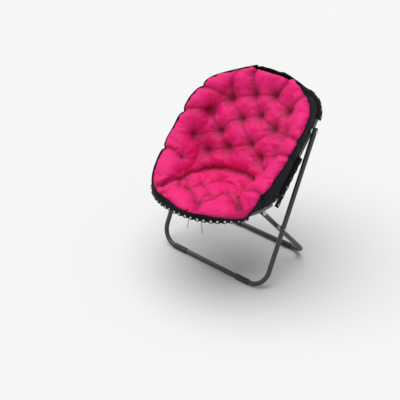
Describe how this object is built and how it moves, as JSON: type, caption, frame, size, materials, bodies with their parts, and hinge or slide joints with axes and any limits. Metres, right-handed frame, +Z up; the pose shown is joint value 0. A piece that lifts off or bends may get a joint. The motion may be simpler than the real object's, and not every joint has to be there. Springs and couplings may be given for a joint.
{
  "type": "folding lounge chair",
  "caption": "Folding lounge chair: crossed tubular leg frames carry a hinged ring that holds a laced fabric shell and a soft tufted bucket pad, and the ring folds shut as the legs close.",
  "frame": {"origin": "on the floor, under the middle of the chair's box", "axes": "+Z up, the chair faces -Y, +X is the sitter's left"},
  "size_m": [0.6544, 0.7188, 0.8694],
  "materials": {
    "leg_coat": "dark grey powder coat, satin",
    "ring_coat": "mid grey powder coat, satin",
    "zinc": "bright zinc plate",
    "black_plastic": "moulded, fine grain",
    "grey_plastic": "moulded, smooth",
    "shell_fabric": "black coated polyester weave",
    "pad_fabric": "bright pink brushed polyester, soft sheen",
    "eyelet_metal": "bright nickel",
    "elastic_cord": "braided black elastic"
  },
  "bodies": {
    "front_legs": {"back_pivot_bolt_left": "zinc", "back_pivot_bolt_right": "zinc", "crossing_pin_left": "zinc", "crossing_pin_right": "zinc", "crossing_spacer_left": "grey_plastic", "crossing_spacer_right": "grey_plastic", "front_foot_sleeve_left": "black_plastic", "front_foot_sleeve_right": "black_plastic", "front_leg_cap_left": "black_plastic", "front_leg_cap_right": "black_plastic", "front_leg_frame": "leg_coat"},
    "rear_legs": {"rear_foot_sleeve_left": "black_plastic", "rear_foot_sleeve_right": "black_plastic", "rear_leg_frame": "leg_coat", "seat_pivot_rivet_left": "zinc", "seat_pivot_rivet_right": "zinc"},
    "front_hoop": {"front_eyelets": "eyelet_metal", "front_flap": "shell_fabric", "front_hinge_plate_left": "ring_coat", "front_hinge_plate_right": "ring_coat", "front_hoop_tube": "ring_coat", "front_lacing": "elastic_cord", "lacing_tail_long": "elastic_cord", "lacing_tail_short": "elastic_cord", "seat_bracket_left": "ring_coat", "seat_bracket_right": "ring_coat", "seat_pad": "pad_fabric", "seat_shell": "shell_fabric"},
    "back_hoop": {"back_hinge_plate_left": "ring_coat", "back_hinge_plate_right": "ring_coat", "back_hoop_tube": "ring_coat", "back_pad": "pad_fabric", "back_shell": "shell_fabric", "hinge_pin_left": "zinc", "hinge_pin_right": "zinc", "left_side_eyelets": "eyelet_metal", "left_side_flap": "shell_fabric", "left_side_lacing": "elastic_cord", "leg_bracket_left": "ring_coat", "leg_bracket_nut_left": "zinc", "leg_bracket_nut_right": "zinc", "leg_bracket_right": "ring_coat", "right_side_eyelets": "eyelet_metal", "right_side_flap": "shell_fabric", "right_side_lacing": "elastic_cord", "top_eyelets": "eyelet_metal", "top_flap": "shell_fabric", "top_lacing": "elastic_cord"}
  },
  "joints": [
    {"name": "legs_fold", "type": "hinge", "parent": "front_legs", "child": "rear_legs", "pos_m": [0, 0.01161, 0.27704], "axis": [1, 0, 0], "range_deg": [-60.05, 0], "deforming": ["seat_pad", "seat_shell", "back_pad", "back_shell"]},
    {"name": "seat_fold", "type": "hinge", "parent": "rear_legs", "child": "front_hoop", "pos_m": [0, -0.09705, 0.395], "axis": [1, 0, 0], "range_deg": [-23.66, 0.01]},
    {"name": "back_fold", "type": "hinge", "parent": "front_hoop", "child": "back_hoop", "pos_m": [0, -0.02207, 0.431], "axis": [1, 0, 0], "range_deg": [-0.01, 108.44]}
  ],
  "couplings": [
    {"joint": "seat_fold", "follows": "legs_fold", "ratio": 0.39378},
    {"joint": "back_fold", "follows": "legs_fold", "ratio": -1.8057}
  ]
}
